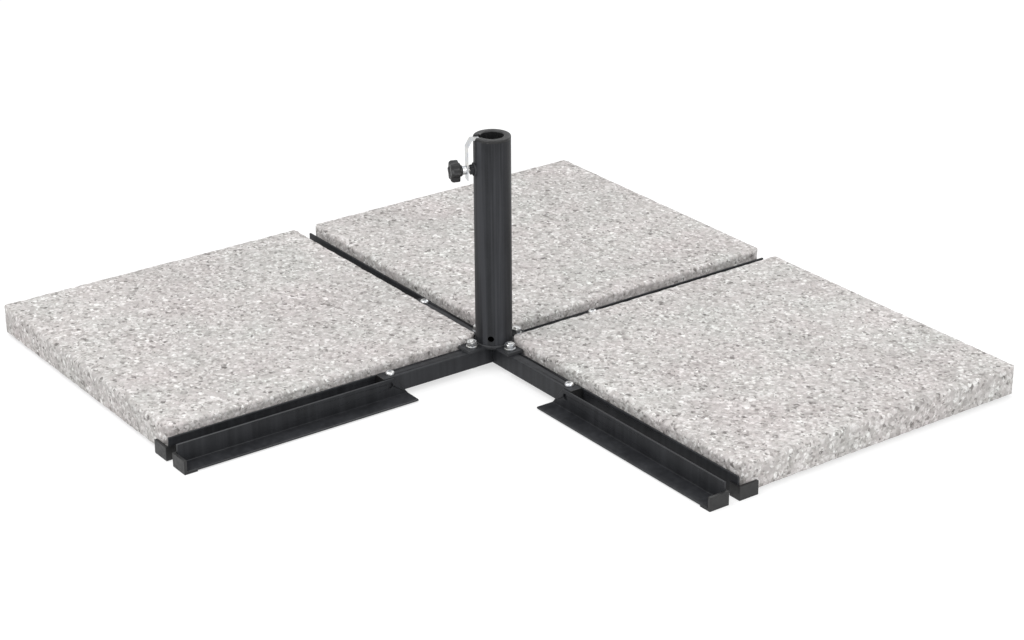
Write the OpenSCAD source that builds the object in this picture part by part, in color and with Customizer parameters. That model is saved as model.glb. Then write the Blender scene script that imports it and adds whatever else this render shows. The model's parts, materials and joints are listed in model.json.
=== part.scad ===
// Parasol base: a bolted cross frame that carries paving slabs around a pole tube.
// Millimetres, +Z up. The origin is on the ground, under the axis of the pole tube.
// The arms run along +X (right), +Y (rear), -X (left) and -Y (front).
// The right front bay, x > 0 and y < 0, is left without a slab.

/* [Slabs] */
// Side of each square slab
slab_w = 498; // [420:1:600]
// Thickness of each slab
slab_t = 41; // [30:1:60]
// Smallest radius of the slab's upright corners
slab_round = 12; // [2:1:30]
// Gap between a slab's side and the rail web beside it
slab_gap = 2; // [0.5:0.5:6]
// Gap between the pole tube and the nearest slab corner
slab_tube_gap = 1.8; // [0.5:0.1:6]

/* [Rails] */
// Width of the flange that carries the slab, over the web
rail_w = 30; // [24:1:45]
// Height of the upright web
rail_h = 30; // [24:1:38]
// Thickness of the angle steel
rail_t = 3; // [2:0.5:4]
// Distance from the tube's axis to the rails' inner ends
rail_start = 155; // [120:1:168]
// Length of the sloping cut at the inner end of the web
rail_slope = 22; // [10:1:28]
// Distance that the rails stop short of the slab's outer side
rail_short = 1; // [0:0.5:6]
// Diameter of the fixing hole near the inner end of each web
rail_hole_d = 9; // [6:0.5:11]

/* [Beams] */
// Width of the crossing beams
beam_w = 20; // [16:1:26]
// Height of the crossing beams
beam_h = 25; // [20:1:30]
// Wall of the crossing beams
beam_wall = 2; // [1.5:0.5:3]
// Distance from the tube's axis to each beam's end
beam_reach = 190; // [184:1:260]
// Height of the beams' underside above the ground
beam_z = 8; // [8:0.5:12]
// Side clearance where the two beams cross
lap_gap = 0.2; // [0.1:0.1:1]
// Thickness of the bridge plate under each beam's end
bridge_t = 3; // [2:0.5:4]
// Length of the bridge plate
bridge_l = 30; // [26:1:50]
// Depth of the plugs in the beams' ends
plug_depth = 9; // [6:1:14]

/* [Foot] */
// Thickness of the tube's foot plate
foot_t = 4; // [3:0.5:6]
// Width of the foot plate's arms
foot_w = 26; // [22:1:28]
// Length of each foot plate arm beyond its hub bolt
foot_end = 14; // [10:1:30]

/* [Pole tube] */
// Outer diameter of the pole tube
tube_od = 52; // [44:1:63]
// Wall of the pole tube
tube_wall = 2; // [1.5:0.5:3]
// Height of the tube's rim above the ground
tube_top = 338; // [250:1:450]
// Diameter of the drain hole near the tube's foot
drain_d = 9; // [5:1:12]
// Height of the drain hole above the foot plate
drain_up = 12; // [8:1:30]

/* [Pole insert] */
// Diameter of the pole that the insert takes
pole_d = 32; // [25:1:34]
// Height of the insert's lip above the rim
lip_h = 4; // [3:0.5:8]
// Depth of the insert's sleeve inside the tube
sleeve_depth = 25; // [15:1:35]
// Wall of the insert's inner and outer sleeves
sleeve_wall = 2.4; // [1.6:0.2:2.8]
// Clearance between the insert and the tube
sleeve_fit = 0.15; // [0.1:0.05:0.4]
// Side clearance of the clamp strip in the insert's notch
notch_gap = 0.6; // [0.3:0.1:1.5]
// Number of ribs between the insert's sleeves
insert_ribs = 6; // [4:1:8]

/* [Clamp] */
// Direction of the clamp screw, anticlockwise from +X
clamp_angle = 250; // [235:1:260]
// Distance of the clamp screw below the tube's rim
clamp_down = 43; // [34:1:60]
// Inward travel of the clamp screw
clamp_travel = 2.5; // [1:0.25:3]
// Diameter of the clamp screw
screw_d = 8; // [6:1:8]
// Pitch of the clamp screw
screw_pitch = 1.25; // [1:0.05:1.5]
// Radial running clearance of the screw in its nut
screw_fit = 0.05; // [0.02:0.01:0.1]
// Width of the weld nut across its flats
nut_flats = 13; // [13:1:16]
// Height of the weld nut
nut_h = 6; // [5:0.5:8]
// Width of the clamp strip
strip_w = 12; // [10:1:16]
// Thickness of the clamp strip
strip_t = 2; // [1.5:0.25:2.5]
// Distance from the tube's skin to the middle of the strip's outer leg
strip_off = 10; // [9.5:0.5:14]
// Clearance of the strip's inner leg from the pole
leaf_gap = 2; // [1:0.25:3]
// Height of the strip's crown over the insert's seat on the rim
rim_gap = 0.3; // [0.2:0.1:1]
// Clearance between the strip's crown and the tube with the screw right in
crown_gap = 0.5; // [0.3:0.1:2]
// Drop from the crown to the top of the strip's outer leg
strip_drop = 11; // [6:1:18]
// Length of the strip's inner leg below the screw
leaf_below = 18; // [10:1:30]
// Length of the strip's outer leg below the screw
leg_below = 13; // [9:1:24]
// Diameter of the shoulder on the screw
shoulder_d = 12; // [11:1:14]
// Length of the shoulder on the screw
shoulder_l = 6; // [3:0.5:8]
// Diameter over the knob's lobes
knob_d = 34; // [28:1:44]
// Number of lobes on the knob
knob_lobes = 6; // [5:1:8]
// Thickness of the knob's lobed part
knob_t = 13; // [10:1:18]
// Length of the knob's hub towards the tube
knob_hub_l = 4; // [2:0.5:8]
// Depth of the screw in the knob's lobed part
screw_in_knob = 8; // [5:0.5:8]
// Height of the rounding on the knob's outer face
knob_round = 3; // [1:0.5:4]

/* [End shoes] */
// Thickness of the shoe under the rail
shoe_base = 1.5; // [1:0.25:2]
// Thickness of the shoe's end wall
shoe_wall = 4.5; // [3:0.5:8]
// Height of the shoe
shoe_h = 20; // [12:1:28]
// Length of the rail that the shoe grips
shoe_grip = 14; // [8:1:24]
// Thickness of the shoe's cheek beside the web
shoe_cheek = 1.5; // [1:0.25:1.5]

/* [Fasteners] */
// Diameter of the frame bolts
bolt_d = 8; // [6:1:8]
// Diameter of the hub bolts' round heads
head_d = 17; // [14:1:18]
// Height of the hub bolts' round heads
head_h = 3.2; // [2:0.2:3.6]
// Diameter of the arm bolts' button heads
button_d = 13; // [12:0.5:16]
// Height of the arm bolts' button heads
button_h = 4.2; // [3:0.2:6]
// Width of the hexagon socket across its flats
socket_flats = 5; // [3:0.5:6]
// Depth of the hexagon socket
socket_depth = 2.4; // [1.5:0.1:2.6]
// Width of the nuts across their flats
bolt_nut_flats = 13; // [10:1:14]
// Height of the hub nuts
bolt_nut_h = 6.5; // [5:0.5:8]
// Height of the thin nuts under the bridge plates
thin_nut_h = 4; // [3:0.5:4.5]
// Diameter of the washers
washer_d = 16; // [12:1:18]
// Thickness of the washers
washer_t = 1.6; // [1:0.2:2]
// Length of hub bolt that stands out of its nut
bolt_proud = 2; // [0:0.5:5]
// Gap between the pole tube and the hub washers
hub_gap = 4; // [2:0.5:8]
// Distance from the tube's axis to the arm bolts
arm_bolt_r = 175; // [170:1:180]

/* [Hidden] */
$fn = 64;
tube_r = tube_od / 2;
bore_r = tube_r - tube_wall;
web_out = beam_w / 2 + rail_t;
slab_edge = web_out + slab_gap;
slab_far = slab_edge + slab_w;
rail_z = shoe_base;
seat_z = rail_z + rail_t;
rail_tip = beam_w / 2 + rail_w;
rail_end = slab_far - rail_short;
beam_top = beam_z + beam_h;
foot_top = beam_top + foot_t;
hub_bolt_r = tube_r + hub_gap + washer_d / 2;
foot_reach = hub_bolt_r + foot_end;
slab_r = max(slab_round, (tube_r + slab_tube_gap - sqrt(2) * slab_edge) / (sqrt(2) - 1));
clamp_z = tube_top - clamp_down;
strip_r = tube_r + strip_off;
leaf_r = pole_d / 2 + leaf_gap + strip_t / 2;
touch_gap = 0.1;
crown_z = tube_top + rim_gap + strip_t / 2;
crown_out = tube_r + clamp_travel + strip_t / 2 + crown_gap;
leaf_face = leaf_r + strip_t / 2;
shoulder_r = strip_r + strip_t / 2 + touch_gap;
knob_r = shoulder_r + shoulder_l;
hole_gap = 0.5;
thread_gap = 0.05;
thread_depth = 0.6;
thread_flat = 0.1;
lobe_share = 0.16;
core_share = 0.37;
cut = 1;

// Turns a piece drawn on the +X arm to arm number i, anticlockwise from +X.
module on_arm(i) {
    rotate([0, 0, 90 * i])
        children();
}

// Puts a piece drawn along +Z on the clamp screw's axis, pointing away from the tube.
module on_clamp() {
    rotate([0, 0, clamp_angle])
        translate([0, 0, clamp_z])
            rotate([0, 90, 0])
                children();
}

// Puts a piece at distance r from the tube's axis on each of the four arms.
module on_each_arm(r) {
    for (i = [0:3])
        on_arm(i)
            translate([r, 0, 0])
                children();
}

module hexagon(flats) {
    circle(r = flats / sqrt(3), $fn = 6);
}

module centre_tube() {
    color("dimgray")
        difference() {
            translate([0, 0, foot_top])
                cylinder(r = tube_r, h = tube_top - foot_top);
            translate([0, 0, foot_top - cut])
                cylinder(r = bore_r, h = tube_top - foot_top + 2 * cut);
            on_clamp()
                cylinder(r = screw_d / 2 + hole_gap, h = tube_r + cut);
            translate([0, 0, foot_top + drain_up])
                rotate([0, 90, -45])
                    cylinder(d = drain_d, h = tube_r + cut);
        }
}

module foot_plate() {
    color("dimgray")
        translate([0, 0, beam_top])
            difference() {
                linear_extrude(foot_t)
                    union() {
                        circle(r = tube_r);
                        square([2 * foot_reach, foot_w], center = true);
                        square([foot_w, 2 * foot_reach], center = true);
                    }
                on_each_arm(hub_bolt_r)
                    translate([0, 0, -cut])
                        cylinder(d = bolt_d + 2 * hole_gap, h = foot_t + 2 * cut);
            }
}

// One hollow beam along X, with its bolt holes.
module beam() {
    difference() {
        translate([-beam_reach, -beam_w / 2, beam_z])
            cube([2 * beam_reach, beam_w, beam_h]);
        translate([-beam_reach - cut, -beam_w / 2 + beam_wall, beam_z + beam_wall])
            cube([2 * (beam_reach + cut), beam_w - 2 * beam_wall, beam_h - 2 * beam_wall]);
        for (x = [-arm_bolt_r, -hub_bolt_r, hub_bolt_r, arm_bolt_r])
            translate([x, 0, beam_z - cut])
                cylinder(d = bolt_d + 2 * hole_gap, h = beam_h + 2 * cut);
    }
}

// The half of a beam's height that is cut away where the other beam crosses it.
module lap(z) {
    lap_w = beam_w + 2 * lap_gap;
    translate([-lap_w / 2, -beam_w / 2 - cut, z])
        cube([lap_w, beam_w + 2 * cut, beam_h / 2 + cut]);
}

module cross_beam_lower() {
    color("dimgray")
        difference() {
            beam();
            lap(beam_z + beam_h / 2);
        }
}

module cross_beam_upper() {
    color("dimgray")
        on_arm(1)
            difference() {
                beam();
                lap(beam_z - cut);
            }
}

module beam_plugs() {
    plug_w = beam_w - 2 * beam_wall;
    plug_h = beam_h - 2 * beam_wall;
    color("black")
        for (i = [0:3])
            on_arm(i) {
                translate([beam_reach, -beam_w / 2, beam_z])
                    cube([beam_wall, beam_w, beam_h]);
                translate([beam_reach - plug_depth, -plug_w / 2, beam_z + beam_wall])
                    cube([plug_depth, plug_w, plug_h]);
            }
}

// Angle rail on arm i. The side is 1 to the left of the arm seen from the hub, -1 to its right.
module rail(i, side) {
    color("dimgray")
        on_arm(i)
            mirror([0, side < 0 ? 1 : 0, 0])
                translate([0, beam_w / 2, rail_z])
                    difference() {
                        translate([rail_start, 0, 0])
                            union() {
                                cube([rail_end - rail_start, rail_w, rail_t]);
                                cube([rail_end - rail_start, rail_t, rail_h]);
                            }
                        translate([rail_start, rail_t + cut, rail_t])
                            rotate([90, 0, 0])
                                linear_extrude(rail_t + 2 * cut)
                                    polygon([[-cut, 0], [0, 0], [rail_slope, rail_h - rail_t],
                                        [rail_slope, rail_h], [-cut, rail_h]]);
                        translate([arm_bolt_r + bolt_d / 2 + rail_hole_d / 2, -cut, beam_z + beam_h / 2])
                            rotate([-90, 0, 0])
                                cylinder(d = rail_hole_d, h = rail_t + 2 * cut);
                    }
}

module bridge(i) {
    color("dimgray")
        on_arm(i)
            difference() {
                translate([arm_bolt_r - bridge_l / 2, -beam_w / 2, beam_z - bridge_t])
                    cube([bridge_l, beam_w, bridge_t]);
                translate([arm_bolt_r, 0, beam_z - bridge_t - cut])
                    cylinder(d = bolt_d + 2 * hole_gap, h = bridge_t + 2 * cut);
            }
}

// Moulded shoe on the outer end of a rail. Its end wall also stops the slab from sliding out.
module shoe(i, side) {
    inner_y = beam_w / 2 - shoe_cheek;
    wall_x = slab_far + rim_gap;
    color("black")
        on_arm(i)
            mirror([0, side < 0 ? 1 : 0, 0]) {
                translate([rail_end - shoe_grip, inner_y, 0])
                    cube([wall_x - rail_end + shoe_grip, rail_tip - inner_y, shoe_base]);
                translate([rail_end - shoe_grip, inner_y, 0])
                    cube([wall_x - rail_end + shoe_grip, shoe_cheek, shoe_h]);
                translate([rail_end, inner_y, 0])
                    cube([wall_x - rail_end, rail_tip - inner_y, seat_z]);
                translate([wall_x, inner_y, 0])
                    cube([shoe_wall, rail_tip - inner_y, shoe_h]);
            }
}

// Carriage bolt with its round head under the beam and its thread through the foot plate.
module hub_bolt() {
    translate([0, 0, beam_z - head_h])
        cylinder(d1 = head_d - 2 * head_h, d2 = head_d, h = head_h);
    translate([0, 0, beam_z])
        cylinder(d = bolt_d, h = foot_top + washer_t + bolt_nut_h + bolt_proud - beam_z);
}

// Button head bolt, put in from above and ending flush with its thin nut.
module arm_bolt() {
    nut_z = beam_z - bridge_t - thin_nut_h;
    difference() {
        union() {
            translate([0, 0, beam_top])
                cylinder(d = button_d, h = button_h / 4);
            translate([0, 0, beam_top + button_h / 4])
                cylinder(d1 = button_d, d2 = button_d / 2, h = button_h * 3 / 4);
        }
        translate([0, 0, beam_top + button_h - socket_depth])
            linear_extrude(socket_depth + cut)
                hexagon(socket_flats);
    }
    translate([0, 0, nut_z])
        cylinder(d = bolt_d, h = beam_top - nut_z);
}

module frame_bolts() {
    color("silver") {
        on_each_arm(hub_bolt_r)
            hub_bolt();
        on_each_arm(arm_bolt_r)
            arm_bolt();
    }
}

module frame_washers() {
    color("silver")
        on_each_arm(hub_bolt_r)
            translate([0, 0, foot_top])
                difference() {
                    cylinder(d = washer_d, h = washer_t);
                    translate([0, 0, -cut])
                        cylinder(d = bolt_d + hole_gap, h = washer_t + 2 * cut);
                }
}

// Hexagon nut with its corners turned down to a cone on its upper face.
module hex_nut(flats, h, bore) {
    corner = flats / sqrt(3);
    difference() {
        intersection() {
            linear_extrude(h)
                hexagon(flats);
            union() {
                cylinder(r = corner + cut, h = h - corner + flats / 2);
                translate([0, 0, h - corner + flats / 2])
                    cylinder(r1 = corner, r2 = flats / 2, h = corner - flats / 2);
            }
        }
        translate([0, 0, -cut])
            cylinder(r = bore, h = h + 2 * cut);
    }
}

module frame_nuts() {
    bore = bolt_d / 2 + thread_gap;
    color("silver") {
        on_each_arm(hub_bolt_r)
            translate([0, 0, foot_top + washer_t])
                hex_nut(bolt_nut_flats, bolt_nut_h, bore);
        on_each_arm(arm_bolt_r)
            translate([0, 0, beam_z - bridge_t])
                mirror([0, 0, 1])
                    hex_nut(bolt_nut_flats, thin_nut_h, bore);
    }
}

module clamp_weld_nut() {
    seat_depth = tube_r - sqrt(tube_r * tube_r - nut_flats * nut_flats / 3);
    color("dimgray")
        difference() {
            on_clamp()
                translate([0, 0, tube_r - seat_depth])
                    hex_nut(nut_flats, nut_h + seat_depth, screw_d / 2 + screw_fit);
            translate([0, 0, clamp_z - nut_flats])
                cylinder(r = tube_r + thread_gap, h = 2 * nut_flats);
        }
}

// Reducing insert: two sleeves joined by ribs under a rounded lip, notched for the clamp strip.
module pole_insert() {
    hole_r = pole_d / 2;
    sleeve_r = bore_r - sleeve_fit;
    lip_round = lip_h / 2;
    rib_bite = 0.5;
    color("black")
        difference() {
            union() {
                translate([0, 0, tube_top])
                    rotate_extrude()
                        union() {
                            translate([hole_r, 0])
                                square([tube_r - hole_r, lip_round]);
                            translate([hole_r + lip_round, 0])
                                square([tube_r - hole_r - 2 * lip_round, lip_h]);
                            for (x = [hole_r + lip_round, tube_r - lip_round])
                                translate([x, lip_round])
                                    circle(r = lip_round);
                        }
                translate([0, 0, tube_top - sleeve_depth])
                    rotate_extrude()
                        union() {
                            translate([hole_r, 0])
                                square([sleeve_wall, sleeve_depth]);
                            translate([sleeve_r - sleeve_wall, 0])
                                square([sleeve_wall, sleeve_depth]);
                        }
                for (i = [0:insert_ribs - 1])
                    rotate([0, 0, clamp_angle + 360 / insert_ribs * (i + 0.5)])
                        translate([hole_r + rib_bite, -sleeve_wall / 2, tube_top - sleeve_depth])
                            cube([sleeve_r - hole_r - 2 * rib_bite, sleeve_wall, sleeve_depth]);
            }
            rotate([0, 0, clamp_angle])
                translate([0, -strip_w / 2 - notch_gap, tube_top - sleeve_depth - cut])
                    cube([tube_r + cut, strip_w + 2 * notch_gap, sleeve_depth + lip_h + 2 * cut]);
        }
}

// One straight length of the clamp strip between two points of its side view.
module strip_run(a, b) {
    d = b - a;
    translate(a)
        rotate(atan2(d[1], d[0]))
            translate([0, -strip_t / 2])
                square([norm(d), strip_t]);
    translate(b)
        circle(d = strip_t);
}

// Spring steel strip: a leaf inside the tube, a crown over the rim and a leg outside.
module clamp_strip() {
    path = [[leaf_r, clamp_z - leaf_below], [leaf_r, crown_z], [crown_out, crown_z],
        [strip_r, crown_z - strip_drop], [strip_r, clamp_z - leg_below]];
    color("silver")
        difference() {
            rotate([0, 0, clamp_angle])
                rotate([90, 0, 0])
                    linear_extrude(strip_w, center = true)
                        for (i = [1:len(path) - 1])
                            strip_run(path[i - 1], path[i]);
            on_clamp()
                translate([0, 0, tube_r])
                    cylinder(r = screw_d / 2 + hole_gap, h = strip_off + strip_t);
        }
}

// Screw with a ring for each thread turn, a shoulder outside the strip and a plain end.
module clamp_screw() {
    crest = screw_d / 2;
    root = crest - thread_depth * screw_pitch;
    flank = (1 - thread_flat) / 2 * screw_pitch;
    tip_r = leaf_face + touch_gap;
    turns = floor((shoulder_r - tip_r - screw_pitch) / screw_pitch);
    color("silver")
        on_clamp() {
            translate([0, 0, tip_r])
                cylinder(r = root, h = shoulder_r - tip_r);
            for (i = [0:turns - 1])
                translate([0, 0, tip_r + (i + 0.5) * screw_pitch]) {
                    cylinder(r1 = root, r2 = crest, h = flank);
                    translate([0, 0, flank])
                        cylinder(r = crest, h = screw_pitch - 2 * flank);
                    translate([0, 0, screw_pitch - flank])
                        cylinder(r1 = crest, r2 = root, h = flank);
                }
            translate([0, 0, shoulder_r])
                cylinder(d = shoulder_d, h = shoulder_l);
            translate([0, 0, knob_r])
                cylinder(r = crest, h = knob_hub_l + screw_in_knob);
        }
}

module star_knob() {
    lobe_r = lobe_share * knob_d;
    core_r = core_share * knob_d;
    back_round = 1;
    color("black")
        on_clamp()
            translate([0, 0, knob_r])
                difference() {
                    union() {
                        cylinder(d = 2 * shoulder_d - screw_d, h = knob_hub_l);
                        translate([0, 0, knob_hub_l])
                            intersection() {
                                linear_extrude(knob_t)
                                    union() {
                                        circle(r = core_r);
                                        for (i = [0:knob_lobes - 1])
                                            rotate(360 / knob_lobes * (i + 0.5))
                                                translate([knob_d / 2 - lobe_r, 0])
                                                    circle(r = lobe_r);
                                    }
                                union() {
                                    cylinder(d1 = knob_d - 2 * back_round, d2 = knob_d, h = back_round);
                                    translate([0, 0, back_round])
                                        cylinder(d = knob_d, h = knob_t - knob_round - back_round);
                                    translate([0, 0, knob_t - knob_round])
                                        cylinder(d1 = knob_d, d2 = knob_d - 4 * knob_round, h = knob_round);
                                }
                            }
                    }
                    translate([0, 0, -cut])
                        cylinder(r = screw_d / 2 + thread_gap,
                            h = knob_hub_l + screw_in_knob + thread_gap + cut);
                }
}

// Square slab with rounded upright corners in the bay between arm i and the next arm.
module slab(i) {
    color("gainsboro")
        on_arm(i)
            translate([slab_edge, slab_edge, seat_z])
                linear_extrude(slab_t)
                    union() {
                        translate([slab_r, 0])
                            square([slab_w - 2 * slab_r, slab_w]);
                        translate([0, slab_r])
                            square([slab_w, slab_w - 2 * slab_r]);
                        for (x = [slab_r, slab_w - slab_r], y = [slab_r, slab_w - slab_r])
                            translate([x, y])
                                circle(r = slab_r);
                    }
}

centre_tube();
foot_plate();
cross_beam_lower();
cross_beam_upper();
beam_plugs();
rail(0, -1);  // rail_right_front
rail(0, 1);  // rail_right_rear
rail(1, -1);  // rail_rear_right
rail(1, 1);  // rail_rear_left
rail(2, -1);  // rail_left_rear
rail(2, 1);  // rail_left_front
rail(3, -1);  // rail_front_left
rail(3, 1);  // rail_front_right
bridge(0);  // bridge_right
bridge(1);  // bridge_rear
bridge(2);  // bridge_left
bridge(3);  // bridge_front
shoe(0, -1);  // shoe_right_front
shoe(0, 1);  // shoe_right_rear
shoe(1, -1);  // shoe_rear_right
shoe(1, 1);  // shoe_rear_left
shoe(2, -1);  // shoe_left_rear
shoe(2, 1);  // shoe_left_front
shoe(3, -1);  // shoe_front_left
shoe(3, 1);  // shoe_front_right
frame_bolts();
frame_washers();
frame_nuts();
clamp_weld_nut();
pole_insert();
clamp_strip();
clamp_screw();
star_knob();
slab(0);  // slab_right_rear
slab(1);  // slab_left_rear
slab(2);  // slab_left_front
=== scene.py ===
"""Looks for the parasol base: a bolted steel cross frame that carries three paving slabs.

Metres, in the row frame. The pole tube stands on the origin and the open bay is x > 0, y < 0.
"""

import json
import math

import bmesh
import bpy
from mathutils import Matrix, Vector, noise


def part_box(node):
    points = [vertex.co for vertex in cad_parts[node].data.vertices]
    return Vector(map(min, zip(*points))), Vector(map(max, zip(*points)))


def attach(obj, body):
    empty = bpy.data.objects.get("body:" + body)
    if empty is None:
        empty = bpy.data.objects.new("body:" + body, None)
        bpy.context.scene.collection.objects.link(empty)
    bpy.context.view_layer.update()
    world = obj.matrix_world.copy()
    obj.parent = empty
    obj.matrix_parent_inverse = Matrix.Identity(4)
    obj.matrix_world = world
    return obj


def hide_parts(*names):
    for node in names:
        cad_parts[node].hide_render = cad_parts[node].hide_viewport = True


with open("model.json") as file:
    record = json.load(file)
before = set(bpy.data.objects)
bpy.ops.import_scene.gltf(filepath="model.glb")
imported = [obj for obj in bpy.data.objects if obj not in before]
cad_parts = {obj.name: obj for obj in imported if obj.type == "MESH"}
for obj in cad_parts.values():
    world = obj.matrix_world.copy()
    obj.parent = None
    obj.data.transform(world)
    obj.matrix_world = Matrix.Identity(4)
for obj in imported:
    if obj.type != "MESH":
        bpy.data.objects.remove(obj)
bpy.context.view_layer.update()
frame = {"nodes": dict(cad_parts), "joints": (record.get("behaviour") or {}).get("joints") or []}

MM = 0.001
UP = Vector((0, 0, 1))

# Camera: the direction it looks from, its roll, its lens and where it stands.
CAMERA_AZIMUTH = 54.21
CAMERA_ELEVATION = 23.93
CAMERA_ROLL = -0.37
CAMERA_LENS = 84.6
CAMERA_PLACE = Vector((2.5168, -1.7830, 1.4357))

# Light: the sky's share, and each lamp's direction, distance, size and power.
SKY_STRENGTH = 0.62
LAMPS = {
    "key": dict(azimuth=-5, elevation=56, distance=3.2, size=2.2, watts=52),
    "fill": dict(azimuth=95, elevation=35, distance=3.4, size=1.8, watts=35),
    "back": dict(azimuth=200, elevation=40, distance=3.6, size=1.6, watts=24),
}
FLOOR_HALF = 30
FLOOR_DROP = 0.3 * MM

# Slabs: rounding of the edges, the mesh step and how deep the surface is worn.
SLAB_CORNER = 15.9 * MM
SLAB_TOP_ROUND = 6 * MM
SLAB_FOOT_ROUND = 3 * MM
SLAB_ROUND_STEPS = 4
SLAB_STEP = 5 * MM
SLAB_PIT = 0.7 * MM
SLAB_CHIP = 1.3 * MM
SLAB_CHIP_REACH = 11 * MM

# Fasteners and clamp.
BOLT_R = 4 * MM
BOLT_PITCH = 1.25 * MM
THREAD_DEPTH = 0.75 * MM
THREAD_STEPS = 8
ROUND_STEPS = 36
BOLT_HEAD_R = 8.5 * MM
BOLT_HEAD_H = 3.2 * MM
BUTTON_R = 6.5 * MM
BUTTON_TOP_R = 3.5 * MM
BUTTON_H = 4.2 * MM
BUTTON_RIM = 1.0 * MM
SOCKET_FLATS = 5 * MM
SOCKET_DEPTH = 2.4 * MM
BOLT_THREAD = 14 * MM
SHOULDER_L = 6 * MM
SHOULDER_R = 6 * MM
SCREW_IN_KNOB = 12 * MM
KNOB_LOBES = 6
KNOB_HUB_L = 4 * MM
KNOB_HUB_R = 8 * MM
KNOB_ROUND = 4.2 * MM
KNOB_WAVE = 0.115
KNOB_DISH = 1.2 * MM

# Welds.
BEAD_R = 2.0 * MM
BEAD_RIPPLE = 0.28 * MM
BEAD_PITCH = 2.6 * MM
BEAD_SIDES = 10


# ---------------------------------------------------------------- materials


class Look:
    """A material under construction: a Principled shader fed by textures in object coordinates."""

    def __init__(self, name):
        self.material = bpy.data.materials.new(name)
        self.material.use_nodes = True
        self.tree = self.material.node_tree
        self.shader = self.tree.nodes["Principled BSDF"]
        self.place = self.add("ShaderNodeTexCoord").outputs["Object"]

    def add(self, kind, **settings):
        node = self.tree.nodes.new(kind)
        for key, value in settings.items():
            setattr(node, key, value)
        return node

    def link(self, output, socket):
        self.tree.links.new(output, socket)

    def set(self, **values):
        for key, value in values.items():
            self.shader.inputs[key.replace("_", " ")].default_value = value

    def feed(self, socket, output):
        self.link(output, self.shader.inputs[socket])

    def noise(self, size, detail=3.0, stretch=None):
        node = self.add("ShaderNodeTexNoise")
        node.inputs["Scale"].default_value = 1 / size
        node.inputs["Detail"].default_value = detail
        self.link(self.stretched(stretch), node.inputs["Vector"])
        return node.outputs["Fac"]

    def stretched(self, stretch):
        if stretch is None:
            return self.place
        node = self.add("ShaderNodeMapping")
        node.inputs["Scale"].default_value = stretch
        self.link(self.place, node.inputs["Vector"])
        return node.outputs["Vector"]

    def cells(self, size):
        """Stone grains: (a random number for each grain, distance from its middle)."""
        node = self.add("ShaderNodeTexVoronoi")
        node.inputs["Scale"].default_value = 1 / size
        self.link(self.place, node.inputs["Vector"])
        split = self.add("ShaderNodeSeparateColor")
        self.link(node.outputs["Color"], split.inputs["Color"])
        return split.outputs["Red"], node.outputs["Distance"]

    def ramp(self, source, stops):
        node = self.add("ShaderNodeValToRGB")
        for place, colour in stops[2:]:
            node.color_ramp.elements.new(place)
        for element, (place, colour) in zip(node.color_ramp.elements, stops):
            element.position = place
            element.color = (*colour, 1)
        self.link(source, node.inputs["Fac"])
        return node.outputs["Color"]

    def spread(self, source, low, high, to_low, to_high):
        node = self.add("ShaderNodeMapRange")
        for key, value in (("From Min", low), ("From Max", high), ("To Min", to_low), ("To Max", to_high)):
            node.inputs[key].default_value = value
        self.link(source, node.inputs["Value"])
        return node.outputs["Result"]

    def mix(self, factor, first, second, blend="MIX"):
        node = self.add("ShaderNodeMix", data_type="RGBA", blend_type=blend)
        for socket, value in ((0, factor), (6, first), (7, second)):
            if isinstance(value, bpy.types.NodeSocket):
                self.link(value, node.inputs[socket])
            elif socket == 0:
                node.inputs[socket].default_value = value
            else:
                node.inputs[socket].default_value = (*value, 1)
        return node.outputs[2]

    def sum(self, first, second, share):
        """first + share * second."""
        node = self.add("ShaderNodeMath", operation="MULTIPLY_ADD")
        self.link(second, node.inputs[0])
        node.inputs[1].default_value = share
        self.link(first, node.inputs[2])
        return node.outputs[0]

    def bump(self, height, distance, strength=1.0):
        node = self.add("ShaderNodeBump")
        node.inputs["Strength"].default_value = strength
        node.inputs["Distance"].default_value = distance
        self.link(height, node.inputs["Height"])
        self.feed("Normal", node.outputs["Normal"])


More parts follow.
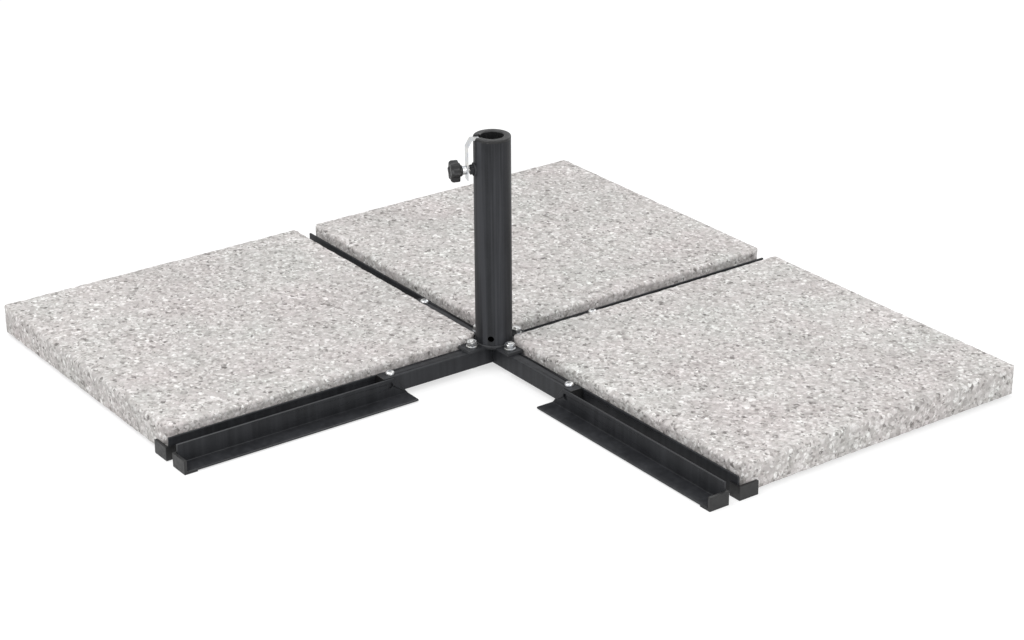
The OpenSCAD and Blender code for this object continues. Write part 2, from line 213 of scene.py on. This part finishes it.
def granite():
    """Pale granite aggregate: white, grey and a few brown grains of 2 to 5 mm in a light matrix."""
    look = Look("granite")
    coarse, coarse_dome = look.cells(6.5 * MM)
    fine, fine_dome = look.cells(3.6 * MM)
    coarse_stops = [
        (0.0, (0.17, 0.16, 0.155)),
        (0.08, (0.33, 0.315, 0.305)),
        (0.22, (0.48, 0.46, 0.455)),
        (0.6, (0.60, 0.575, 0.57)),
        (0.88, (0.73, 0.71, 0.705)),
        (1.0, (0.93, 0.93, 0.92)),
    ]
    fine_stops = [
        (0.0, (0.19, 0.185, 0.18)),
        (0.12, (0.37, 0.36, 0.345)),
        (0.35, (0.55, 0.52, 0.51)),
        (0.65, (0.61, 0.60, 0.585)),
        (0.9, (0.78, 0.77, 0.765)),
        (1.0, (0.92, 0.92, 0.91)),
    ]
    grain_mix = look.spread(look.noise(6 * MM, 2), 0.42, 0.58, 0, 1)
    grains = look.mix(grain_mix, look.ramp(coarse, coarse_stops), look.ramp(fine, fine_stops))
    matrix_mask = look.spread(coarse_dome, 0.5, 0.75, 0, 0.55)
    stone = look.mix(matrix_mask, grains, (0.48, 0.465, 0.455))
    dust = look.ramp(look.noise(0.7 * MM, 2), [(0.3, (0.84, 0.84, 0.84)), (0.7, (1.08, 1.08, 1.08))])
    stone = look.mix(1.0, stone, dust, "MULTIPLY")
    tint = look.ramp(look.noise(90 * MM, 3), [(0.3, (1.02, 0.985, 0.985)), (0.7, (0.985, 1.0, 0.985))])
    stone = look.mix(1.0, stone, tint, "MULTIPLY")
    patches = look.ramp(look.noise(160 * MM, 5), [(0.3, (0.93, 0.93, 0.93)), (0.65, (1.03, 1.03, 1.03))])
    look.feed("Base Color", look.mix(1.0, stone, patches, "MULTIPLY"))
    look.feed("Roughness", look.spread(fine, 0, 1, 0.95, 0.62))
    height = look.sum(look.noise(1.6 * MM, 4), coarse_dome, -0.9)
    height = look.sum(height, fine_dome, -0.5)
    look.bump(height, 0.9 * MM)
    look.set(Specular_IOR_Level=0.3)
    return look.material


def powder_coat(name, wear_and_highlight, painted_streak):
    """Anthracite powder coat: fine orange peel, painted reflection streaks along the height, and lighter edges that
    are partly rubbed wear and partly painted highlight.
    """
    look = Look(name)
    patches = look.noise(45 * MM, 4)
    coat = look.ramp(patches, [(0.3, (0.016, 0.0168, 0.0190)), (0.7, (0.028, 0.0292, 0.0325))])
    # Painted reflection: lighter and darker streaks along the height stand in for the studio's reflections on the
    # coat.
    painted_streaks = look.noise(9 * MM, 3, stretch=(1, 1, 0.02))
    coat = look.mix(look.spread(painted_streaks, 0.5, 0.66, 0, painted_streak), coat, (0.052, 0.054, 0.060))
    coat = look.mix(look.spread(painted_streaks, 0.36, 0.48, painted_streak, 0), coat, (0.007, 0.0074, 0.0088))
    specks = look.spread(look.noise(1.1 * MM, 2), 0.66, 0.74, 0, 0.35)
    coat = look.mix(specks, coat, (0.075, 0.076, 0.078))
    # Lighter sharp edges: partly rubbed wear, partly a painted highlight where the edges catch the light.
    edge = look.spread(look.add("ShaderNodeNewGeometry").outputs["Pointiness"], 0.53, 0.62, 0, wear_and_highlight)
    look.feed("Base Color", look.mix(edge, coat, (0.12, 0.122, 0.126)))
    look.feed("Roughness", look.spread(patches, 0.25, 0.75, 0.36, 0.52))
    look.bump(look.sum(look.noise(0.9 * MM, 2), look.noise(9 * MM, 2), 1.5), 0.06 * MM)
    look.set(Specular_IOR_Level=0.17)
    return look.material


def zinc():
    """Bright zinc plate: faint blue and yellow passivation, drawn lines and dull spots."""
    look = Look("zinc")
    hue = look.ramp(look.noise(7 * MM, 3), [(0.35, (0.56, 0.58, 0.61)), (0.7, (0.66, 0.65, 0.62))])
    dull = look.spread(look.noise(1.8 * MM, 4), 0.55, 0.75, 0, 0.6)
    look.feed("Base Color", look.mix(dull, hue, (0.40, 0.41, 0.42)))
    look.feed("Roughness", look.spread(look.noise(1.2 * MM, 3), 0.3, 0.7, 0.24, 0.44))
    lines = look.noise(0.5 * MM, 2, stretch=(1, 1, 0.06))
    look.bump(lines, 0.03 * MM)
    look.set(Metallic=1.0)
    return look.material


def black_plastic():
    """Moulded black plastic with a fine grain and slightly scuffed high spots."""
    look = Look("black_plastic")
    scuff = look.spread(look.noise(3 * MM, 5), 0.55, 0.75, 0, 0.5)
    look.feed("Base Color", look.mix(scuff, (0.006, 0.006, 0.0065), (0.019, 0.019, 0.020)))
    look.feed("Roughness", look.spread(look.noise(6 * MM, 3), 0.3, 0.7, 0.38, 0.56))
    look.bump(look.cells(0.45 * MM)[1], 0.05 * MM)
    look.set(Specular_IOR_Level=0.5)
    return look.material


def only_seen_directly(tree):
    """1 for rays from the camera, mirrors and glass, 0 for the light that the object gathers."""
    path = tree.nodes.new("ShaderNodeLightPath")
    total = path.outputs["Is Camera Ray"]
    for name in ("Is Glossy Ray", "Is Transmission Ray"):
        node = tree.nodes.new("ShaderNodeMath")
        node.operation = "MAXIMUM"
        tree.links.new(total, node.inputs[0])
        tree.links.new(path.outputs[name], node.inputs[1])
        total = node.outputs[0]
    return total


def floor_paper():
    """White paper that keeps a faint shadow where the camera sees it."""
    material = bpy.data.materials.new("floor_paper")
    material.use_nodes = True
    tree = material.node_tree
    tree.nodes.remove(tree.nodes["Principled BSDF"])
    seen = only_seen_directly(tree)
    diffuse = tree.nodes.new("ShaderNodeBsdfDiffuse")
    tone = tree.nodes.new("ShaderNodeMapRange")
    tone.inputs["To Min"].default_value = 0.8
    tone.inputs["To Max"].default_value = 0.42
    tree.links.new(seen, tone.inputs["Value"])
    tree.links.new(tone.outputs["Result"], diffuse.inputs["Color"])
    glow = tree.nodes.new("ShaderNodeEmission")
    level = tree.nodes.new("ShaderNodeMath")
    level.operation = "MULTIPLY"
    level.inputs[1].default_value = 0.64
    tree.links.new(seen, level.inputs[0])
    tree.links.new(level.outputs[0], glow.inputs["Strength"])
    both = tree.nodes.new("ShaderNodeAddShader")
    tree.links.new(diffuse.outputs[0], both.inputs[0])
    tree.links.new(glow.outputs[0], both.inputs[1])
    tree.links.new(both.outputs[0], tree.nodes["Material Output"].inputs["Surface"])
    return material


MATERIALS = {
    "granite": granite(),
    # Each coat: lighter edges (part wear, part painted highlight) and painted reflection streaks, strongest on the
    # tube.
    "powder_coat": powder_coat("powder_coat", wear_and_highlight=0.5, painted_streak=0.22),
    "tube_coat": powder_coat("tube_coat", wear_and_highlight=0, painted_streak=0.8),
    "zinc": zinc(),
    "black_plastic": black_plastic(),
}


# ---------------------------------------------------------------- stage, light and camera


def direction(azimuth, elevation):
    """Unit vector towards a viewpoint. Azimuth 0 is in front, on -Y, and 90 is on +X."""
    a, e = math.radians(azimuth), math.radians(elevation)
    return Vector((math.sin(a) * math.cos(e), -math.cos(a) * math.cos(e), math.sin(e)))


def make_stage():
    bm = bmesh.new()
    bmesh.ops.create_grid(bm, x_segments=1, y_segments=1, size=FLOOR_HALF)
    mesh = bpy.data.meshes.new("floor")
    bm.to_mesh(mesh)
    floor = bpy.data.objects.new("floor", mesh)
    floor.location.z = -FLOOR_DROP
    mesh.materials.append(floor_paper())
    bpy.context.scene.collection.objects.link(floor)


def make_world():
    world = bpy.data.worlds.new("studio")
    bpy.context.scene.world = world
    world.use_nodes = True
    tree = world.node_tree
    backdrop = tree.nodes["Background"]
    backdrop.inputs["Color"].default_value = (1, 1, 1, 1)
    level = tree.nodes.new("ShaderNodeMapRange")
    level.inputs["To Min"].default_value = SKY_STRENGTH
    level.inputs["To Max"].default_value = 1.0
    tree.links.new(only_seen_directly(tree), level.inputs["Value"])
    tree.links.new(level.outputs["Result"], backdrop.inputs["Strength"])


def make_lamps():
    for name, lamp in LAMPS.items():
        data = bpy.data.lights.new(name, "AREA")
        data.size = lamp["size"]
        data.energy = lamp["watts"]
        place = bpy.data.objects.new(name, data)
        away = direction(lamp["azimuth"], lamp["elevation"])
        place.location = away * lamp["distance"]
        place.rotation_euler = (-away).to_track_quat("-Z", "Y").to_euler()
        bpy.context.scene.collection.objects.link(place)


def make_camera():
    data = bpy.data.cameras.new("camera")
    data.lens = CAMERA_LENS
    data.clip_end = 100
    camera = bpy.data.objects.new("camera", data)
    back = direction(CAMERA_AZIMUTH, CAMERA_ELEVATION)
    azimuth = math.radians(CAMERA_AZIMUTH)
    right = Vector((math.cos(azimuth), math.sin(azimuth), 0))
    upright = Matrix((right, back.cross(right), back)).transposed().to_4x4()
    roll = Matrix.Rotation(math.radians(CAMERA_ROLL), 4, "Z")
    camera.matrix_world = Matrix.Translation(CAMERA_PLACE) @ upright @ roll
    bpy.context.scene.collection.objects.link(camera)
    bpy.context.scene.camera = camera


# ---------------------------------------------------------------- mesh helpers


def make_piece(name, bm, body, slot, stands_for=(), smooth_angle=35):
    """Turns a bmesh into a piece of the object that rides on a CAD body."""
    bmesh.ops.recalc_face_normals(bm, faces=bm.faces)
    for face in bm.faces:
        face.smooth = True
    for edge in bm.edges:
        if len(edge.link_faces) == 2 and edge.calc_face_angle() > math.radians(smooth_angle):
            edge.smooth = False
    mesh = bpy.data.meshes.new(name)
    bm.to_mesh(mesh)
    bm.free()
    piece = bpy.data.objects.new(name, mesh)
    mesh.materials.append(MATERIALS[slot])
    bpy.context.scene.collection.objects.link(piece)
    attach(piece, body)
    if stands_for:
        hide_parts(*stands_for)
    return piece


def add_rings(bm, rings):
    """Joins rings of points with quads and closes both ends. Each ring has as many points."""
    rows = [[bm.verts.new(point) for point in ring] for ring in rings]
    count = len(rows[0])
    for low, high in zip(rows, rows[1:]):
        for i in range(count):
            j = (i + 1) % count
            bm.faces.new((low[i], low[j], high[j], high[i]))
    bm.faces.new(list(reversed(rows[0])))
    bm.faces.new(rows[-1])


def turned(profile, steps=ROUND_STEPS, place=Matrix()):
    """Rings of a turned part about Z, from (radius, height) points."""
    rings = []
    for radius, height in profile:
        angles = [2 * math.pi * i / steps for i in range(steps)]
        rings.append([place @ Vector((radius * math.cos(a), radius * math.sin(a), height)) for a in angles])
    return rings


def threaded(low, high, radius, place=Matrix()):
    """Rings of a threaded length about Z: the radius follows the thread round and along it."""
    rows = max(2, round((high - low) / BOLT_PITCH * THREAD_STEPS))
    rings = []
    for k in range(rows + 1):
        height = low + (high - low) * k / rows
        ends = min(1, (height - low) / BOLT_PITCH, (high - height) / BOLT_PITCH)
        ring = []
        for i in range(ROUND_STEPS):
            turn = (height / BOLT_PITCH - i / ROUND_STEPS) % 1
            crest = min(1, 1.25 * (1 - abs(2 * turn - 1)))
            r = radius - THREAD_DEPTH + THREAD_DEPTH * crest * ends
            a = 2 * math.pi * i / ROUND_STEPS
            ring.append(place @ Vector((r * math.cos(a), r * math.sin(a), height)))
        rings.append(ring)
    return rings


def bead_rings(path, normals, closed=False):
    """Rings of a weld bead along a path, with the ripples that each pool of metal leaves."""
    rings = []
    run = 0.0
    for i, point in enumerate(path):
        if i:
            run += (point - path[i - 1]).length
        ahead = path[(i + 1) % len(path)] if closed or i + 1 < len(path) else point
        behind = path[i - 1] if closed or i else point
        along = (ahead - behind).normalized()
        side = along.cross(normals[i]).normalized()
        ripple = BEAD_RIPPLE * abs(math.sin(math.pi * run / BEAD_PITCH))
        wander = 0.25 * MM * noise.noise(point * 90)
        radius = BEAD_R + ripple + wander
        if not closed and i in (0, len(path) - 1):
            radius *= 0.35
        steps = [2 * math.pi * k / BEAD_SIDES for k in range(BEAD_SIDES)]
        rings.append([point + radius * (math.cos(s) * normals[i] + math.sin(s) * side) for s in steps])
    return rings


def add_bead(bm, path, normals, closed=False):
    rings = bead_rings(path, normals, closed)
    if not closed:
        add_rings(bm, rings)
        return
    rows = [[bm.verts.new(point) for point in ring] for ring in rings]
    for low, high in zip(rows, rows[1:] + rows[:1]):
        for i in range(BEAD_SIDES):
            j = (i + 1) % BEAD_SIDES
            bm.faces.new((low[i], low[j], high[j], high[i]))


# ---------------------------------------------------------------- slabs


def slab_lines(length, low_round, high_round, step):
    """Grid lines along one side of a slab: close together over its rounded ends."""
    inner = length - low_round - high_round
    count = max(1, round(inner / step))
    ends = range(SLAB_ROUND_STEPS)
    lines = [low_round * i / SLAB_ROUND_STEPS for i in ends]
    lines += [low_round + inner * i / count for i in range(count + 1)]
    lines += [length - high_round * i / SLAB_ROUND_STEPS for i in reversed(ends)]
    return lines


def rounded(depth, radius):
    """(inset, drop) on a quarter round for a point that lies depth inside the sharp edge."""
    angle = math.pi / 4 * (radius - depth) / radius
    return radius - radius * math.cos(angle), radius - radius * math.sin(angle)


def slab_point(point, low, high):
    """Moves a point of a sharp box onto the slab's rounded form."""
    x, y, z = point
    middle = (low + high) / 2
    half = (high - low) / 2
    q = Vector((x - middle.x, y - middle.y))
    core = Vector((half.x - SLAB_CORNER, half.y - SLAB_CORNER))
    out = Vector((max(0, abs(q.x) - core.x), max(0, abs(q.y) - core.y)))
    if out.length > 0:
        out *= max(out) / out.length
    inside = SLAB_CORNER - max(out) if max(out) > 0 else SLAB_CORNER
    away = out.normalized() if out.length > 0 else out
    for edge, radius, sense in ((high.z, SLAB_TOP_ROUND, -1), (low.z, SLAB_FOOT_ROUND, 1)):
        below = abs(edge - z)
        if below < 1e-7 and inside < radius:
            drop, inset = rounded(inside, radius)
            out -= away * (inset - inside)
            z = edge + sense * drop
        elif inside < 1e-7 and below < radius:
            inset, drop = rounded(below, radius)
            out -= away * inset
            z = edge + sense * drop
    q = Vector((min(abs(q.x), core.x) + out.x, min(abs(q.y), core.y) + out.y))
    side_x = 1 if x > middle.x else -1
    side_y = 1 if y > middle.y else -1
    return Vector((middle.x + side_x * q.x, middle.y + side_y * q.y, z)), inside


def make_slab(node, body):
    """A cast slab: rounded edges, a pitted skin and crumbled arrises, inside its CAD solid."""
    low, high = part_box(node)
    size = high - low
    bm = bmesh.new()
    lines = [
        slab_lines(size.x, SLAB_TOP_ROUND, SLAB_TOP_ROUND, SLAB_STEP),
        slab_lines(size.y, SLAB_TOP_ROUND, SLAB_TOP_ROUND, SLAB_STEP),
        slab_lines(size.z, SLAB_FOOT_ROUND, SLAB_TOP_ROUND, SLAB_STEP),
    ]
    verts = {}

    def vert(i, j, k):
        if (i, j, k) not in verts:
            sharp = low + Vector((lines[0][i], lines[1][j], lines[2][k]))
            verts[i, j, k] = bm.verts.new(slab_point(sharp, low, high)[0])
        return verts[i, j, k]

    last = [len(line) - 1 for line in lines]
    for axis in range(3):
        a, b = (axis + 1) % 3, (axis + 2) % 3
        for end in (0, last[axis]):
            for i in range(last[a]):
                for j in range(last[b]):
                    corners = []
                    for di, dj in ((0, 0), (1, 0), (1, 1), (0, 1)):
                        index = [0, 0, 0]
                        index[axis], index[a], index[b] = end, i + di, j + dj
                        corners.append(vert(*index))
                    bm.faces.new(corners)
    bmesh.ops.recalc_face_normals(bm, faces=bm.faces)
    bm.normal_update()
    moves = []
    for v in bm.verts:
        gap = [min(v.co[i] - low[i], high[i] - v.co[i]) for i in range(3)]
        reach = sorted(gap)[1]
        edge = max(0, 1 - reach / SLAB_CHIP_REACH)
        pit = SLAB_PIT * (0.5 + 0.5 * noise.noise(v.co / (9 * MM)))
        chip = SLAB_CHIP * edge * max(0, noise.noise(v.co / (7 * MM)) + 0.15)
        moves.append((v, -v.normal * (pit + chip)))
    for v, move in moves:
        v.co += move
    make_piece(node + "_stone", bm, body, "granite", stands_for=[node], smooth_angle=80)


# ---------------------------------------------------------------- fasteners, knob and welds


def split_solids(node):
    """Boxes of the separate solids of a CAD node that holds several, as (low, high)."""
    bm = bmesh.new()
    bm.from_mesh(frame["nodes"][node].data)
    bmesh.ops.remove_doubles(bm, verts=bm.verts, dist=0.01 * MM)
    left = set(bm.verts)
    boxes = []
    while left:
        group = [left.pop()]
        for v in group:
            for edge in v.link_edges:
                other = edge.other_vert(v)
                if other in left:
                    left.discard(other)
                    group.append(other)
        low = Vector([min(v.co[i] for v in group) for i in range(3)])
        high = Vector([max(v.co[i] for v in group) for i in range(3)])
        boxes.append((low, high))
    bm.free()
    return sorted(boxes, key=lambda box: tuple(round(c, 4) for c in box[0]))


def hexagonal(flats, height, place):
    """Ring of a hexagonal hole about Z."""
    ring = []
    for i in range(ROUND_STEPS):
        a = 2 * math.pi * i / ROUND_STEPS
        off_flat = (a + math.pi / 6) % (math.pi / 3) - math.pi / 6
        r = flats / 2 / math.cos(off_flat)
        ring.append(place @ Vector((r * math.cos(a), r * math.sin(a), height)))
    return ring


def hub_bolt_rings(low, high, place):
    """Mushroom head below, thread above."""
    seat = low + BOLT_HEAD_H
    rim = 0.4 * MM
    profile = [(0.3 * BOLT_HEAD_R, low)]
    for i in range(1, 7):
        a = math.pi / 2 * i / 6
        reach = BOLT_HEAD_R * (0.3 + 0.7 * math.sin(a))
        profile.append((reach, seat - rim - (BOLT_HEAD_H - rim) * math.cos(a)))
    profile += [(BOLT_HEAD_R - rim / 2, seat), (BOLT_R, seat), (BOLT_R, high - BOLT_THREAD)]
    return turned(profile, place=place) + threaded(high - BOLT_THREAD, high, BOLT_R, place=place)


def arm_bolt_rings(low, high, place):
    """Thread below, button head with a hexagon socket above."""
    seat = high - BUTTON_H
    soft = 0.3 * MM
    profile = [(BOLT_R, seat), (BUTTON_R - soft, seat), (BUTTON_R, seat + soft)]
    for i in range(7):
        a = math.pi / 2 * i / 6
        reach = BUTTON_TOP_R + (BUTTON_R - BUTTON_TOP_R) * math.cos(a)
        profile.append((reach, seat + BUTTON_RIM + (BUTTON_H - BUTTON_RIM) * math.sin(a)))
    rings = threaded(low, low + BOLT_THREAD, BOLT_R, place=place)
    rings += turned(profile, place=place)
    rings.append(hexagonal(SOCKET_FLATS, high, place))
    rings.append(hexagonal(SOCKET_FLATS, high - SOCKET_DEPTH, place))
    return rings


def make_bolts():
    """Carriage bolts round the hub, button head bolts further out on the arms."""
    bm = bmesh.new()
    boxes = sorted(split_solids("frame_bolts"), key=lambda box: (box[0] + box[1]).xy.length)
    hub_count = len(boxes) // 2
    for i, (low, high) in enumerate(boxes):
        centre = (low + high) / 2
        place = Matrix.Translation((centre.x, centre.y, 0))
        rings = hub_bolt_rings if i < hub_count else arm_bolt_rings
        add_rings(bm, rings(low.z, high.z, place))
    make_piece("frame_bolts_threaded", bm, "frame", "zinc", stands_for=["frame_bolts"])


def clamp_frame():
    """Matrix that stands Z on the clamp screw's axis, pointing away from the tube."""
    turn = next(j for j in frame["joints"] if j["name"] == "knob_turn")
    outward = -Vector(turn["axis"]).normalized()
    height = Vector((0, 0, turn["pos_m"][2]))
    across = UP.cross(outward)
    return Matrix.Translation(height) @ Matrix((across, UP, outward)).transposed().to_4x4()


def reach_along(node, axis):
    """(nearest, farthest) reach of a CAD node along an axis from the tube's centre line."""
    reach = [v.co.dot(axis) for v in frame["nodes"][node].data.vertices]
    return min(reach), max(reach)


def make_clamp_screw():
    place = clamp_frame()
    axis = place.to_3x3() @ UP
    tip, end = reach_along("clamp_screw", axis)
    knob_start, _ = reach_along("star_knob", axis)
    shoulder = knob_start - SHOULDER_L
    bm = bmesh.new()
    rings = threaded(tip, shoulder, BOLT_R, place=place)
    soft = 0.5 * MM
    rings += turned(
        [
            (SHOULDER_R - soft, shoulder),
            (SHOULDER_R, shoulder + soft),
            (SHOULDER_R, knob_start - soft),
            (SHOULDER_R - soft, knob_start),
            (BOLT_R - 0.3 * MM, knob_start),
            (BOLT_R - 0.3 * MM, min(end, knob_start + SCREW_IN_KNOB)),
        ],
        place=place,
    )
    add_rings(bm, rings)
    make_piece("clamp_screw_threaded", bm, "knob", "zinc", stands_for=["clamp_screw"])


def lobed(angle, radius):
    """Outline of the star knob: soft lobes with hollows between them."""
    wave = math.cos(KNOB_LOBES * angle)
    return radius * (1 - KNOB_WAVE + KNOB_WAVE * (wave + 0.18 * (wave * wave - 1)))


def make_knob():
    place = clamp_frame()
    axis = place.to_3x3() @ UP
    start, end = reach_along("star_knob", axis)
    low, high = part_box("star_knob")
    radius = (high.z - low.z) / 2
    face = start + KNOB_HUB_L
    turns = 16 * KNOB_LOBES
    rows = [(KNOB_HUB_R - 0.8 * MM, start, 0.0), (KNOB_HUB_R, start + 0.8 * MM, 0.0), (KNOB_HUB_R, face, 0.0)]
    back = 1.6 * MM
    for i in range(5):
        a = math.pi / 2 * i / 4
        rows.append((radius - back + back * math.sin(a), face + back - back * math.cos(a), 1.0))
    for i in range(7):
        a = math.pi / 2 * i / 6
        rows.append((radius - KNOB_ROUND + KNOB_ROUND * math.cos(a), end - KNOB_ROUND + KNOB_ROUND * math.sin(a), 1.0))
    rows += [
        (0.55 * radius, end - 0.2 * MM, 0.6),
        (0.47 * radius, end - 0.3 * KNOB_DISH, 0.0),
        (0.43 * radius, end - KNOB_DISH, 0.0),
        (0.16 * radius, end - KNOB_DISH, 0.0),
    ]
    bm = bmesh.new()
    rings = []
    for reach, height, lobes in rows:
        ring = []
        for i in range(turns):
            a = 2 * math.pi * i / turns
            r = reach + lobes * (lobed(a, radius) - radius) * reach / radius
            ring.append(place @ Vector((r * math.cos(a), r * math.sin(a), height)))
        rings.append(ring)
    add_rings(bm, rings)
    make_piece("star_knob_moulded", bm, "knob", "black_plastic", stands_for=["star_knob"])


def make_tube_weld():
    """Fillet weld round the tube's foot, on the foot plate."""
    low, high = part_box("centre_tube")
    radius = (high.x - low.x) / 2
    count = 120
    angles = [2 * math.pi * i / count for i in range(count)]
    outward = [Vector((math.cos(a), math.sin(a), 0)) for a in angles]
    path = [(radius + 0.2 * MM) * d + (low.z + 0.2 * MM) * UP for d in outward]
    bm = bmesh.new()
    add_bead(bm, path, outward, closed=True)
    make_piece("tube_foot_weld", bm, "frame", "powder_coat", smooth_angle=60)


def make_rail_welds():
    """Short weld beads that hold each rail's web to its bridge plate, on the underside."""
    bm = bmesh.new()
    for arm in ("right", "rear", "left", "front"):
        low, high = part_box("bridge_" + arm)
        lengthwise = 0 if arm in ("right", "left") else 1
        across = 1 - lengthwise
        for edge, sense in ((low[across], 1), (high[across], -1)):
            path = []
            for i in range(25):
                point = Vector((0, 0, low.z))
                point[lengthwise] = low[lengthwise] + (high[lengthwise] - low[lengthwise]) * (i + 0.5) / 25
                point[across] = edge + sense * 0.4 * MM
                path.append(point)
            add_bead(bm, path, [-UP] * len(path))
    make_piece("bridge_welds", bm, "frame", "powder_coat", smooth_angle=60)


def make_nut_weld():
    """Weld round the clamp nut, on the tube's skin."""
    place = clamp_frame()
    low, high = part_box("centre_tube")
    radius = (high.x - low.x) / 2
    ring = 7.6 * MM
    count = 60
    path = []
    normals = []
    for i in range(count):
        a = 2 * math.pi * i / count
        x, y = ring * math.cos(a), ring * math.sin(a)
        path.append(place @ Vector((x, y, math.sqrt(radius * radius - x * x))))
        normals.append((place.to_3x3() @ Vector((x / radius, 0, 1))).normalized())
    bm = bmesh.new()
    add_bead(bm, path, normals, closed=True)
    make_piece("clamp_nut_weld", bm, "frame", "powder_coat", smooth_angle=60)


# ---------------------------------------------------------------- CAD nodes that stay


def dress(node, slot, edge):
    """Gives a CAD node its finish, and the small round that its real edges have."""
    shown = frame["nodes"][node]
    shown.data.materials.clear()
    shown.data.materials.append(MATERIALS[slot])
    if not edge:
        return
    weld = shown.modifiers.new("weld", "WELD")
    weld.merge_threshold = 0.01 * MM
    bevel = shown.modifiers.new("edge", "BEVEL")
    bevel.width = edge
    bevel.segments = 3
    bevel.limit_method = "ANGLE"
    bevel.angle_limit = math.radians(35)
    normals = shown.modifiers.new("normals", "WEIGHTED_NORMAL")
    normals.keep_sharp = False


def dress_all():
    names = list(frame["nodes"])
    groups = [
        (["centre_tube"], "tube_coat", 0),
        (["foot_plate"], "powder_coat", 0.6),
        ([n for n in names if n.startswith("cross_beam")], "powder_coat", 1.2),
        ([n for n in names if n.startswith("rail_")], "powder_coat", 0.8),
        ([n for n in names if n.startswith("bridge_")], "powder_coat", 0.5),
        ([n for n in names if n.startswith("shoe_")], "black_plastic", 0.7),
        (["beam_plugs"], "black_plastic", 0.5),
        (["frame_washers", "frame_nuts"], "zinc", 0.25),
        (["clamp_weld_nut"], "powder_coat", 0.3),
        (["pole_insert"], "black_plastic", 0.3),
        (["clamp_strip"], "zinc", 0.35),
    ]
    for nodes, slot, edge in groups:
        for node in nodes:
            dress(node, slot, edge * MM)


make_stage()
make_world()
make_lamps()
make_camera()
dress_all()
for slab in ("slab_right_rear", "slab_left_rear", "slab_left_front"):
    make_slab(slab, slab + "_body")
make_bolts()
make_clamp_screw()
make_knob()
make_tube_weld()
make_rail_welds()
make_nut_weld()

bpy.context.scene.view_settings.view_transform = "Standard"
